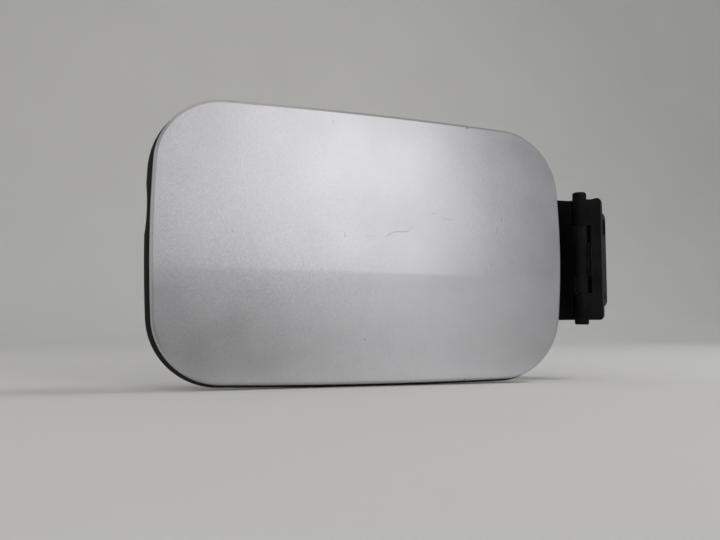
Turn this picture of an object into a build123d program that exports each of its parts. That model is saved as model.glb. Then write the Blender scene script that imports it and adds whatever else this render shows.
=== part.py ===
"""Car fuel door: a crowned painted skin on a black inner panel, on a swan-neck hinge.

Millimetres. +Z is up along the hinge, the painted face looks along -Y, and +X runs from
the door to the hinge. The origin is the middle of the two screw holes, on the face of the
hinge base that seats on the car.
"""
import os
from math import acos, asin, cos, degrees, radians, sin, sqrt

from build123d import *

# Painted face
DOOR_WIDTH = 190.0
DOOR_HEIGHT = 119.1
LATCH_CORNER_RADIUS = 28.6
HINGE_CORNER_RADIUS = 29.3
SHORT_SIDE_RADIUS = 550.0
LONG_SIDE_RADIUS = 2790.0
LATCH_SIDE_RISE = 4.6
CROWN_RADIUS_ACROSS = 3000.0
CROWN_RADIUS_UP = 555.0

# Painted skin
SKIN_THICKNESS = 2.5
LIP_DEPTH = 5.2
LIP_WALL = 2.2
SKIN_EDGE_ROUND = 1.5
HOOK_WIDTH = 8.0
HOOK_THICKNESS = 1.8
HOOK_REACH = 1.2
HOOK_BARB = 1.4
HOOK_INSET = 14.0
HOOK_SPACING = 52.0
HOOK_COUNT = 3
HOOK_PLAY = 0.2

# Inner panel
PANEL_THICKNESS = 2.2
RIM_MARGIN = 1.2
RIM_SHIFT = -0.6
RIM_CORNER_EASE = 3.6
RIM_BITE_RADIUS = 90.0
RIM_BITE_DEPTH = 0.7
RIM_BITE_UP = 11.4
RING_INSET = 7.5
RING_WALL = 2.0
RING_RISE = 1.2
PAD_RISE = 1.3
RIB_WALL = 1.6
RIB_DROP = 0.5
RIB_SPACING_ACROSS = 27.0
RIB_COUNT_ACROSS = 6
RIB_SPACING_UP = 26.0
RIB_COUNT_UP = 3

# Hinge axis and its place
HINGE_TO_EDGE = 23.9
HINGE_BEHIND_FACE = 18.6
HINGE_HEIGHT = 62.0
OPEN_ANGLE = 95.0
STOP_OVERRUN = 4.0
KNUCKLE_RADIUS = 3.5
BASE_KNUCKLE = 13.5
KNUCKLE_GAP = 0.3
SWING_CLEARANCE = 0.6
PIN_RADIUS = 2.0
PIN_PRESS_GAP = 0.02
PIN_RUN_GAP = 0.06
PIN_HEAD = 3.7
PIN_TAIL = 1.3
PIN_CHAMFER = 0.6
RETAINER_HEIGHT = 2.4

# Swan-neck arm
ARM_THICKNESS = 3.2
LIMB_CLEARANCE = 0.4
NECK_RADIUS = 15.0
NECK_START = 9.5
FOOT_BEND = 6.0
FOOT_LENGTH = 42.0
FOOT_CORNER = 8.0
ARM_RIB_HEIGHT = 3.0
ARM_RIB_WALL = 2.4
ARM_CREST = 2.0
CREST_RUN = 14.0
PAD_MARGIN = 2.0

# Cam and detent spring
CAM_ANGLE = 45.0
CAM_FLAT = 4.2
CAM_LENGTH = 16.0
CAM_SHOULDER = 1.5
CAM_ROUND = 2.5
LUG_RADIUS = 5.2
LUG_SPREAD = 35.0
LUG_GAP = 1.0
BLADE_GAP = 0.02
BLADE_THICKNESS = 0.5
BLADE_WIDTH = 4.0
BLADE_TUCK = 4.0
BLADE_PLAY = 0.1

# Hinge base
BASE_EDGE = 11.4
BASE_WALL = 2.8
BASE_CORNER = 3.0
LEAF_RISE = 2.0
BLOCK_START = 0.3
SEAT_OFFSET = 9.2
SCREW_OFFSET = 16.6
SCREW_SPACING = 36.6
SCREW_HOLE_RADIUS = 3.3
FLANGE_THICKNESS = 3.0
FLANGE_HEIGHT = 51.2
FLANGE_RISE = 1.3
FLANGE_LAND = 4.4
FLANGE_CORNER = 4.0
GUSSET_WALL = 2.4
GUSSET_REACH = 5.0
CORE_WALL = 1.8
CORE_DEPTH = 7.5

# Screws that hold the black pieces to the inner panel
SCREW_RADIUS = 1.9
SCREW_BITE = 3.4
SCREW_BITE_GAP = 0.08
SCREW_PASS_GAP = 0.3
SCREW_HEAD_RADIUS = 3.6
SCREW_HEAD_HEIGHT = 2.4
SCREW_HEAD_CHAMFER = 0.8
SCREW_SOCKET_RADIUS = 1.7
SCREW_SOCKET_DEPTH = 1.3
ARM_SCREW_SPACING_ACROSS = 24.0
ARM_SCREW_SPACING_UP = 34.0

# Catch tongue
CATCH_INSET = 21.0
CATCH_FOOT_WIDTH = 15.0
CATCH_FOOT_HEIGHT = 34.0
CATCH_FOOT_CORNER = 3.0
CATCH_FOOT_THICKNESS = 3.0
CATCH_SCREW_SPACING = 24.0
TONGUE_THICKNESS = 4.0
TONGUE_WIDTH = 15.0
TONGUE_REACH = 12.0
TONGUE_GUSSET_HEIGHT = 7.0
TONGUE_GUSSET_WALL = 3.0
EYE_RADIUS = 4.0

# Bump stops
STOP_INSET_ACROSS = 24.0
STOP_INSET_UP = 24.0
STOP_RADIUS = 6.0
STOP_TIP_RADIUS = 4.2
STOP_HEIGHT = 7.0
STOP_TIP_ROUND = 1.6
STOP_STEM_RADIUS = 2.5
STOP_STEM_LENGTH = 2.6
STOP_STEM_GAP = 0.05
BOSS_MARGIN = 1.0

# Cap holder
HOLDER_OFFSET = -14.0
HOLDER_WIDTH = 38.0
HOLDER_HEIGHT = 40.0
HOLDER_CORNER = 6.0
HOLDER_PLATE = 2.4
HOLDER_WALL = 2.8
HOLDER_GAP = 8.0
HOLDER_LIP = 2.4
HOLDER_SLOT = 19.0
HOLDER_EAR = 10.0

# Room that the shaping layers reach past the door
SLAB_SPARE = 5.0

# Places that follow from the driving sizes
HINGE_X = -SCREW_OFFSET
HINGE_Y = -SEAT_OFFSET
DOOR_X = HINGE_X - HINGE_TO_EDGE - DOOR_WIDTH / 2
FACE_Y = HINGE_Y - HINGE_BEHIND_FACE
PANEL_BACK = LIP_DEPTH + PANEL_THICKNESS
BAY_HEIGHT = HINGE_HEIGHT - 2 * BASE_KNUCKLE
ARM_KNUCKLE = BAY_HEIGHT - 2 * KNUCKLE_GAP
SWING_RADIUS = KNUCKLE_RADIUS + SWING_CLEARANCE
LIMB_CENTRE = BLOCK_START - LIMB_CLEARANCE - ARM_THICKNESS / 2
CAM_CORNER = CAM_FLAT / cos(radians(OPEN_ANGLE / 2))
CAM_REACH = CAM_CORNER - CAM_ROUND * (CAM_CORNER / CAM_FLAT - 1)
LUG_ANGLE = -degrees(acos(SWING_RADIUS / LUG_RADIUS)) - OPEN_ANGLE - STOP_OVERRUN
FLANGE_EDGE = SCREW_OFFSET + FLANGE_LAND
FOOT_END = LIMB_CENTRE - 2 * NECK_RADIUS - FOOT_BEND - FOOT_LENGTH
FOOT_PLACE = DOOR_WIDTH / 2 + HINGE_TO_EDGE + FOOT_END + FOOT_LENGTH / 2
CATCH_PLACE = CATCH_INSET - DOOR_WIDTH / 2
STOP_ACROSS = STOP_INSET_ACROSS - DOOR_WIDTH / 2
STOP_UP = DOOR_HEIGHT / 2 - STOP_INSET_UP
HOOK_UP = DOOR_HEIGHT / 2 - HOOK_INSET
DEEP = DOOR_HEIGHT / 2


def door_plane(depth):
    """Plane behind the middle of the painted face: x to the hinge, y up, normal outwards."""
    return Plane(origin=(DOOR_X, FACE_Y + depth, 0), x_dir=(1, 0, 0), z_dir=(0, -1, 0))


def hinge_plane(height):
    """Level plane through the hinge axis: x away from the door, y into the car."""
    return Plane(origin=(HINGE_X, HINGE_Y, height))


def polar(radius, angle):
    """Point of a sketch at a radius and an angle in degrees from its origin."""
    return Vector(radius * cos(radians(angle)), radius * sin(radians(angle)))


def face_depth(across, up, under):
    """Depth of the surface that lies evenly under the crowned face, at one place of the door."""
    ring = CROWN_RADIUS_ACROSS - CROWN_RADIUS_UP + sqrt((CROWN_RADIUS_UP - under) ** 2 - up**2)
    return CROWN_RADIUS_ACROSS - sqrt(ring**2 - across**2)


def panel_depth(up, under):
    """Depth of the inner panel's surface at one height: the panel is curved upwards only."""
    return CROWN_RADIUS_UP - sqrt((CROWN_RADIUS_UP - under) ** 2 - up**2)


# Depths of the inner panel's flat lands
PAD_DEPTH = panel_depth(HINGE_HEIGHT / 2, PANEL_BACK) + PAD_RISE
RING_DEPTH = panel_depth(DOOR_HEIGHT / 2 - RING_INSET, PANEL_BACK) + RING_RISE
RIB_DEPTH = PAD_DEPTH - RIB_DROP
FOOT_MIDDLE = PAD_DEPTH - HINGE_BEHIND_FACE + ARM_THICKNESS / 2

# Places of what repeats, across and up from the middle of the door
hook_places = [
    ((index - (HOOK_COUNT - 1) / 2) * HOOK_SPACING, side * HOOK_UP)
    for index in range(HOOK_COUNT)
    for side in (-1, 1)
]
arm_screw_places = [
    (FOOT_PLACE + side * ARM_SCREW_SPACING_ACROSS / 2, end * ARM_SCREW_SPACING_UP / 2)
    for side in (-1, 1)
    for end in (-1, 1)
]
catch_screw_places = [(CATCH_PLACE, end * CATCH_SCREW_SPACING / 2) for end in (-1, 1)]
holder_screw_places = [(HOLDER_OFFSET + side * (HOLDER_WIDTH + HOLDER_EAR) / 2, 0) for side in (-1, 1)]
stop_places = {"upper": (STOP_ACROSS, STOP_UP), "lower": (STOP_ACROSS, -STOP_UP)}


def door_outline(grow, ease=0.0):
    """Outline of the painted face, grown evenly: four shallow arcs with rounded corners.

    The latch side bulges most above the middle, and its upper corner may be eased.
    """
    half_width = DOOR_WIDTH / 2 + grow
    half_height = DOOR_HEIGHT / 2 + grow
    short_radius = SHORT_SIDE_RADIUS + grow
    long_radius = LONG_SIDE_RADIUS + grow
    with BuildSketch() as outline:
        with Locations((short_radius - half_width, LATCH_SIDE_RISE)):
            Circle(short_radius)
        with Locations(Location((half_width - short_radius, 0, 0), (0, 0, 180))):
            Circle(short_radius, mode=Mode.INTERSECT)
        with Locations((0, long_radius - half_height)):
            Circle(long_radius, mode=Mode.INTERSECT)
        with Locations((0, half_height - long_radius)):
            Circle(long_radius, mode=Mode.INTERSECT)
        corner_radii = {
            (-1, 1): LATCH_CORNER_RADIUS + ease,
            (-1, -1): LATCH_CORNER_RADIUS,
            (1, 1): HINGE_CORNER_RADIUS,
            (1, -1): HINGE_CORNER_RADIUS,
        }
        for (side, end), radius in corner_radii.items():
            corner = outline.vertices().sort_by_distance((side * half_width, end * half_height))[0]
            fillet(corner, radius=radius + grow)
    return outline.sketch


def crowned_slab(front, back):
    """Layer between two even depths under the crowned face, wider than the door."""
    reach_up = DOOR_HEIGHT / 2 + RIM_MARGIN + SLAB_SPARE
    reach_across = DOOR_WIDTH / 2 + RIM_MARGIN + SLAB_SPARE
    half_turn = asin(reach_across / CROWN_RADIUS_ACROSS)
    centre = (DOOR_X, FACE_Y + CROWN_RADIUS_ACROSS, 0)
    start = Plane(
        origin=centre,
        x_dir=(-sin(half_turn), -cos(half_turn), 0),
        z_dir=(-cos(half_turn), sin(half_turn), 0),
    )
    arc_centre = CROWN_RADIUS_ACROSS - CROWN_RADIUS_UP
    front_radius = CROWN_RADIUS_UP - front
    back_radius = CROWN_RADIUS_UP - back
    front_end = arc_centre + sqrt(front_radius**2 - reach_up**2)
    back_end = arc_centre + sqrt(back_radius**2 - reach_up**2)
    with BuildPart() as slab:
        with BuildSketch(start):
            with BuildLine():
                ThreePointArc((front_end, -reach_up), (arc_centre + front_radius, 0), (front_end, reach_up))
                Line((front_end, reach_up), (back_end, reach_up))
                ThreePointArc((back_end, reach_up), (arc_centre + back_radius, 0), (back_end, -reach_up))
                Line((back_end, -reach_up), (front_end, -reach_up))
            make_face()
        revolve(axis=Axis(centre, (0, 0, 1)), revolution_arc=2 * degrees(half_turn))
    return slab.part


def panel_slab(front, back):
    """Layer of the inner panel's curve between two depths, wider than the door."""
    reach_up = DOOR_HEIGHT / 2 + RIM_MARGIN + SLAB_SPARE
    reach_across = DOOR_WIDTH / 2 + RIM_MARGIN + SLAB_SPARE
    side = Plane(origin=(DOOR_X, FACE_Y, 0), x_dir=(0, 1, 0), z_dir=(1, 0, 0))
    front_end = panel_depth(reach_up, front)
    back_end = panel_depth(reach_up, back)
    with BuildPart() as slab:
        with BuildSketch(side):
            with BuildLine():
                ThreePointArc((front_end, -reach_up), (front, 0), (front_end, reach_up))
                Line((front_end, reach_up), (back_end, reach_up))
                ThreePointArc((back_end, reach_up), (back, 0), (back_end, -reach_up))
                Line((back_end, -reach_up), (front_end, -reach_up))
            make_face()
        extrude(amount=reach_across, both=True)
    return slab.part


def barb_depth(up):
    """Depth of the panel's back at the far edge of a hook's barb, with play."""
    return panel_depth(abs(up) + HOOK_THICKNESS / 2 + HOOK_REACH, PANEL_BACK) + HOOK_PLAY


def neck_band(shift, width):
    """Level section of the swan neck, as a band of even width beside its middle line."""
    with BuildSketch() as band:
        with BuildLine():
            limb = Line((LIMB_CENTRE + shift, 0), (LIMB_CENTRE + shift, NECK_START))
            bend = JernArc(limb @ 1, limb % 1, NECK_RADIUS + shift, 180)
            drop = Line(bend @ 1, ((bend @ 1).X, FOOT_MIDDLE + FOOT_BEND))
            turn = JernArc(drop @ 1, drop % 1, FOOT_BEND - shift, -90)
            Line(turn @ 1, (FOOT_END, (turn @ 1).Y))
        trace(line_width=width)
    return band.sketch


def panel_screws(places, grip):
    """Pan-head screws that clamp a plate of one thickness to the inner panel's lands."""
    head_seat = PAD_DEPTH + grip
    with BuildPart() as screws:
        with BuildSketch(door_plane(head_seat)):
            with Locations(*places):
                Circle(SCREW_RADIUS)
        extrude(amount=grip + SCREW_BITE)
        with BuildSketch(door_plane(head_seat)):
            with Locations(*places):
                Circle(SCREW_HEAD_RADIUS)
        extrude(amount=-SCREW_HEAD_HEIGHT)
        head_rims = screws.edges().filter_by(GeomType.CIRCLE).group_by(Axis.Y)[-1]
        chamfer(head_rims, length=SCREW_HEAD_CHAMFER)
        with BuildSketch(door_plane(head_seat + SCREW_HEAD_HEIGHT)):
            with Locations(*places):
                RegularPolygon(SCREW_SOCKET_RADIUS, 6)
        extrude(amount=SCREW_SOCKET_DEPTH, mode=Mode.SUBTRACT)
    return screws


os.makedirs("parts", exist_ok=True)

# Outer skin: a crowned plate with its edge turned back, and snap hooks inside
face_outline = door_outline(0)
lip_inside = door_outline(-LIP_WALL)
skin_layer = crowned_slab(0, LIP_DEPTH + SLAB_SPARE)
hollow_layer = crowned_slab(SKIN_THICKNESS, LIP_DEPTH + 2 * SLAB_SPARE)
before_panel = panel_slab(-SLAB_SPARE, LIP_DEPTH)

with BuildPart() as skin_hollow:
    with BuildSketch(door_plane(DEEP)):
        add(lip_inside)
    extrude(amount=DEEP)
    add(hollow_layer, mode=Mode.INTERSECT)

with BuildPart() as outer_skin:
    with BuildSketch(door_plane(DEEP)):
        add(face_outline)
    extrude(amount=DEEP + SLAB_SPARE)
    add(skin_layer, mode=Mode.INTERSECT)
    add(before_panel, mode=Mode.INTERSECT)
    painted_face = outer_skin.faces().sort_by(Axis.Y)[0]
    fillet(painted_face.edges(), radius=SKIN_EDGE_ROUND)
    add(skin_hollow.part, mode=Mode.SUBTRACT)
    for across, up in hook_places:
        outward = HOOK_REACH if up > 0 else -HOOK_REACH
        hook_end = barb_depth(up) + HOOK_BARB
        with BuildSketch(door_plane(hook_end)):
            with Locations((across, up)):
                Rectangle(HOOK_WIDTH, HOOK_THICKNESS)
        extrude(amount=hook_end - face_depth(across, up, SKIN_THICKNESS / 2))
        with BuildSketch(door_plane(hook_end)):
            with Locations((across, up + outward / 2)):
                Rectangle(HOOK_WIDTH, HOOK_THICKNESS + HOOK_REACH)
        extrude(amount=HOOK_BARB)

outer_skin.part.label = "outer_skin"
export_step(outer_skin.part, "parts/outer_skin.step")

# Inner panel: a crowned plate that shows as a rim round the skin, with a ring, ribs and lands behind
rim_outline = door_outline(RIM_MARGIN, RIM_CORNER_EASE)
rim_side = SHORT_SIDE_RADIUS + RIM_MARGIN
rim_side_centre = Vector(SHORT_SIDE_RADIUS - DOOR_WIDTH / 2 + RIM_SHIFT, LATCH_SIDE_RISE)
bite_angle = 180 - degrees(asin((RIM_BITE_UP - LATCH_SIDE_RISE) / rim_side))
ring_outside = door_outline(-RING_INSET)
ring_inside = door_outline(-RING_INSET - RING_WALL)
panel_layer = panel_slab(LIP_DEPTH, PANEL_BACK)
behind_panel = panel_slab(LIP_DEPTH + PANEL_THICKNESS / 2, DEEP)

with BuildPart() as panel_back:
    with BuildSketch(door_plane(RING_DEPTH)):
        add(ring_outside)
        add(ring_inside, mode=Mode.SUBTRACT)
    extrude(amount=RING_DEPTH)
    with BuildSketch(door_plane(RIB_DEPTH)):
        with GridLocations(RIB_SPACING_ACROSS, 0, RIB_COUNT_ACROSS, 1):
            Rectangle(RIB_WALL, DOOR_HEIGHT)
        with GridLocations(0, RIB_SPACING_UP, 1, RIB_COUNT_UP):
            Rectangle(DOOR_WIDTH, RIB_WALL)
        add(ring_outside, mode=Mode.INTERSECT)
    extrude(amount=RIB_DEPTH)
    with BuildSketch(door_plane(PAD_DEPTH)):
        with Locations((FOOT_PLACE, 0)):
            RectangleRounded(FOOT_LENGTH + 2 * PAD_MARGIN, HINGE_HEIGHT + 2 * PAD_MARGIN, FOOT_CORNER)
        with Locations((CATCH_PLACE, 0)):
            Rectangle(CATCH_FOOT_WIDTH + 2 * PAD_MARGIN, CATCH_FOOT_HEIGHT + 2 * PAD_MARGIN)
        with Locations((HOLDER_OFFSET, 0)):
            Rectangle(HOLDER_WIDTH + 2 * HOLDER_EAR + 2 * PAD_MARGIN, HOLDER_HEIGHT + 2 * PAD_MARGIN)
        with Locations(*stop_places.values()):
            Circle(STOP_RADIUS + BOSS_MARGIN)
    extrude(amount=PAD_DEPTH)
    with BuildSketch(door_plane(PAD_DEPTH)):
        with Locations((FOOT_PLACE, 0)):
            Rectangle(DOOR_WIDTH, HINGE_HEIGHT + 2 * PAD_MARGIN, align=(Align.MIN, Align.CENTER))
    extrude(amount=-DEEP, mode=Mode.SUBTRACT)
    add(behind_panel, mode=Mode.INTERSECT)

with BuildPart() as inner_panel:
    with BuildSketch(door_plane(DEEP)):
        with Locations((RIM_SHIFT, 0)):
            add(rim_outline)
        with Locations(rim_side_centre + polar(rim_side + RIM_BITE_RADIUS - RIM_BITE_DEPTH, bite_angle)):
            Circle(RIM_BITE_RADIUS, mode=Mode.SUBTRACT)
    extrude(amount=DEEP + SLAB_SPARE)
    add(panel_layer, mode=Mode.INTERSECT)
    add(panel_back.part)
    with BuildSketch(door_plane(0)):
        for across, up in hook_places:
            outward = HOOK_REACH if up > 0 else -HOOK_REACH
            with Locations((across, up + outward / 2)):
                Rectangle(HOOK_WIDTH + 2 * HOOK_PLAY, HOOK_THICKNESS + HOOK_REACH + 2 * HOOK_PLAY)
        with Locations(*arm_screw_places, *catch_screw_places, *holder_screw_places):
            Circle(SCREW_RADIUS + SCREW_BITE_GAP)
        with Locations(*stop_places.values()):
            Circle(STOP_STEM_RADIUS + STOP_STEM_GAP)
    extrude(amount=-DEEP, mode=Mode.SUBTRACT)

inner_panel.part.label = "inner_panel"
export_step(inner_panel.part, "parts/inner_panel.step")

# Hinge arm: a ribbed swan neck with a raised top, a knuckle, the detent's cam and two stop lugs
arm_section = neck_band(0, ARM_THICKNESS)
rib_width = ARM_THICKNESS / 2 + ARM_RIB_HEIGHT
rib_section = neck_band(rib_width / 2, rib_width)
arm_reach = HINGE_TO_EDGE + DOOR_WIDTH

with BuildPart() as neck_crest:
    with BuildSketch(hinge_plane(HINGE_HEIGHT / 2)):
        add(arm_section)
    extrude(amount=ARM_CREST)
    with BuildSketch(Plane(origin=(HINGE_X, HINGE_Y, HINGE_HEIGHT / 2), x_dir=(0, 1, 0), z_dir=(1, 0, 0))):
        with BuildLine():
            Polyline(
                (SWING_RADIUS, 0),
                (CREST_RUN, ARM_CREST),
                (DEEP, ARM_CREST),
                (DEEP, 0),
                close=True,
            )
        make_face()
    extrude(amount=DEEP, both=True, mode=Mode.INTERSECT)

with BuildPart() as hinge_arm:
    for height in (-HINGE_HEIGHT / 2, -ARM_RIB_WALL / 2, HINGE_HEIGHT / 2 - ARM_RIB_WALL):
        with BuildSketch(hinge_plane(height)):
            add(rib_section)
            with Locations((LIMB_CENTRE + ARM_THICKNESS / 2, 0)):
                Rectangle(rib_width, 2 * DEEP, align=(Align.MIN, Align.CENTER), mode=Mode.SUBTRACT)
        extrude(amount=ARM_RIB_WALL)
    with BuildSketch(hinge_plane(-HINGE_HEIGHT / 2)):
        add(arm_section)
    extrude(amount=HINGE_HEIGHT)
    with BuildSketch(door_plane(DEEP)):
        with Locations((FOOT_PLACE - FOOT_LENGTH / 2 + arm_reach / 2, 0)):
            RectangleRounded(arm_reach, HINGE_HEIGHT, FOOT_CORNER)
    extrude(amount=2 * DEEP, mode=Mode.INTERSECT)
    add(neck_crest.part)
    for height in (-HINGE_HEIGHT / 2, ARM_KNUCKLE / 2):
        with BuildSketch(hinge_plane(height)):
            Circle(SWING_RADIUS)
        extrude(amount=(HINGE_HEIGHT - ARM_KNUCKLE) / 2, mode=Mode.SUBTRACT)
    with BuildSketch(hinge_plane(-ARM_KNUCKLE / 2)):
        Circle(KNUCKLE_RADIUS)
    extrude(amount=ARM_KNUCKLE)
    with BuildSketch(hinge_plane(-CAM_LENGTH / 2)) as cam:
        corner = polar(CAM_CORNER, CAM_ANGLE - OPEN_ANGLE / 2)
        with BuildLine():
            Polyline(
                (0, 0),
                polar(CAM_FLAT, CAM_ANGLE) + polar(CAM_SHOULDER, CAM_ANGLE + 90),
                corner,
                polar(CAM_FLAT, CAM_ANGLE - OPEN_ANGLE) + polar(CAM_SHOULDER, CAM_ANGLE - OPEN_ANGLE - 90),
                close=True,
            )
        make_face()
        fillet(cam.vertices().sort_by_distance(corner)[0], radius=CAM_ROUND)
    extrude(amount=CAM_LENGTH)
    lug_length = (ARM_KNUCKLE - CAM_LENGTH) / 2 - LUG_GAP
    for height in (-ARM_KNUCKLE / 2, ARM_KNUCKLE / 2 - lug_length):
        with BuildSketch(hinge_plane(height)):
            with BuildLine():
                Polyline(
                    (0, 0),
                    polar(LUG_RADIUS, LUG_ANGLE),
                    polar(LUG_RADIUS, LUG_ANGLE - LUG_SPREAD),
                    close=True,
                )
            make_face()
        extrude(amount=lug_length)
    with BuildSketch(hinge_plane(-ARM_KNUCKLE / 2)):
        Circle(PIN_RADIUS + PIN_RUN_GAP)
    extrude(amount=ARM_KNUCKLE, mode=Mode.SUBTRACT)
    with BuildSketch(door_plane(PAD_DEPTH)):
        with Locations(*arm_screw_places):
            Circle(SCREW_RADIUS + SCREW_PASS_GAP)
    extrude(amount=-ARM_THICKNESS, mode=Mode.SUBTRACT)

hinge_arm.part.label = "hinge_arm"
export_step(hinge_arm.part, "parts/hinge_arm.step")

arm_screws = panel_screws(arm_screw_places, ARM_THICKNESS)
arm_screws.part.label = "arm_screws"
export_step(arm_screws.part, "parts/arm_screws.step")

# Catch tongue: a screwed foot and a tongue whose eye takes the lock bolt
with BuildPart() as catch_tongue:
    with BuildSketch(door_plane(PAD_DEPTH)):
        with Locations((CATCH_PLACE, 0)):
            RectangleRounded(CATCH_FOOT_WIDTH, CATCH_FOOT_HEIGHT, CATCH_FOOT_CORNER)
        with Locations(*catch_screw_places):
            Circle(SCREW_RADIUS + SCREW_PASS_GAP, mode=Mode.SUBTRACT)
    extrude(amount=-CATCH_FOOT_THICKNESS)
    tongue_side = Plane(
        origin=(DOOR_X + CATCH_PLACE - TONGUE_THICKNESS / 2, FACE_Y + PAD_DEPTH + CATCH_FOOT_THICKNESS, 0),
        x_dir=(0, 1, 0),
        z_dir=(1, 0, 0),
    )
    with BuildSketch(tongue_side):
        Rectangle(TONGUE_REACH, TONGUE_WIDTH, align=(Align.MIN, Align.CENTER))
        with Locations((TONGUE_REACH, 0)):
            Circle(TONGUE_WIDTH / 2)
            Circle(EYE_RADIUS, mode=Mode.SUBTRACT)
    extrude(amount=TONGUE_THICKNESS)
    with BuildSketch(Plane(origin=(DOOR_X + CATCH_PLACE, FACE_Y + PAD_DEPTH + CATCH_FOOT_THICKNESS, 0))):
        with BuildLine():
            Polyline(
                (-CATCH_FOOT_WIDTH / 2, 0),
                (CATCH_FOOT_WIDTH / 2, 0),
                (0, TONGUE_GUSSET_HEIGHT),
                close=True,
            )
        make_face()
    extrude(amount=TONGUE_GUSSET_WALL / 2, both=True)

catch_tongue.part.label = "catch_tongue"
export_step(catch_tongue.part, "parts/catch_tongue.step")

catch_screws = panel_screws(catch_screw_places, CATCH_FOOT_THICKNESS)
catch_screws.part.label = "catch_screws"
export_step(catch_screws.part, "parts/catch_screws.step")

# Bump stops: rubber buttons with a stem in the panel's boss
for name, (across, up) in stop_places.items():
    button_seat = (DOOR_X + across, FACE_Y + PAD_DEPTH, up)
    button_section = Plane(origin=button_seat, x_dir=(1, 0, 0), z_dir=(0, 0, 1))
    with BuildPart() as bump_stop:
        with BuildSketch(button_section) as button:
            with BuildLine():
                Polyline(
                    (0, -STOP_STEM_LENGTH),
                    (STOP_STEM_RADIUS, -STOP_STEM_LENGTH),
                    (STOP_STEM_RADIUS, 0),
                    (STOP_RADIUS, 0),
                    (STOP_TIP_RADIUS, STOP_HEIGHT),
                    (0, STOP_HEIGHT),
                    close=True,
                )
            make_face()
            tip_edge = button.vertices().sort_by_distance((STOP_TIP_RADIUS, STOP_HEIGHT))[0]
            fillet(tip_edge, radius=STOP_TIP_ROUND)
        revolve(axis=Axis(button_seat, (0, 1, 0)))
    bump_stop.part.label = f"bump_stop_{name}"
    export_step(bump_stop.part, f"parts/bump_stop_{name}.step")

# Cap holder: a pocket, open at the top, that takes the filler cap by its flange
holder_floor = PAD_DEPTH + HOLDER_PLATE
holder_mouth = holder_floor + HOLDER_GAP

with BuildPart() as cap_holder:
    with BuildSketch(door_plane(PAD_DEPTH)):
        with Locations((HOLDER_OFFSET, 0)):
            RectangleRounded(HOLDER_WIDTH, HOLDER_HEIGHT, HOLDER_CORNER)
            SlotOverall(HOLDER_WIDTH + 2 * HOLDER_EAR, HOLDER_EAR)
        with Locations(*holder_screw_places):
            Circle(SCREW_RADIUS + SCREW_PASS_GAP, mode=Mode.SUBTRACT)
    extrude(amount=-HOLDER_PLATE)
    with BuildSketch(door_plane(holder_floor)):
        with Locations((HOLDER_OFFSET, 0)):
            RectangleRounded(HOLDER_WIDTH, HOLDER_HEIGHT, HOLDER_CORNER)
        with Locations((HOLDER_OFFSET, HOLDER_WALL)):
            Rectangle(HOLDER_WIDTH - 2 * HOLDER_WALL, HOLDER_HEIGHT, mode=Mode.SUBTRACT)
    extrude(amount=-HOLDER_GAP)
    with BuildSketch(door_plane(holder_mouth)):
        with Locations((HOLDER_OFFSET, 0)):
            RectangleRounded(HOLDER_WIDTH, HOLDER_HEIGHT, HOLDER_CORNER)
            Rectangle(HOLDER_SLOT, HOLDER_HEIGHT, align=(Align.CENTER, Align.MIN), mode=Mode.SUBTRACT)
            Circle(HOLDER_SLOT / 2, mode=Mode.SUBTRACT)
    extrude(amount=-HOLDER_LIP)

cap_holder.part.label = "cap_holder"
export_step(cap_holder.part, "parts/cap_holder.step")

holder_screws = panel_screws(holder_screw_places, HOLDER_PLATE)
holder_screws.part.label = "holder_screws"
export_step(holder_screws.part, "parts/holder_screws.step")

# Hinge base: two cored knuckle blocks on a bracket with a front leaf and a screw flange
seat_plane = Plane(origin=(0, 0, 0), x_dir=(1, 0, 0), z_dir=(0, -1, 0))
bay_depth = SEAT_OFFSET + KNUCKLE_RADIUS
bay_wall = BASE_EDGE - BASE_WALL

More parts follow.
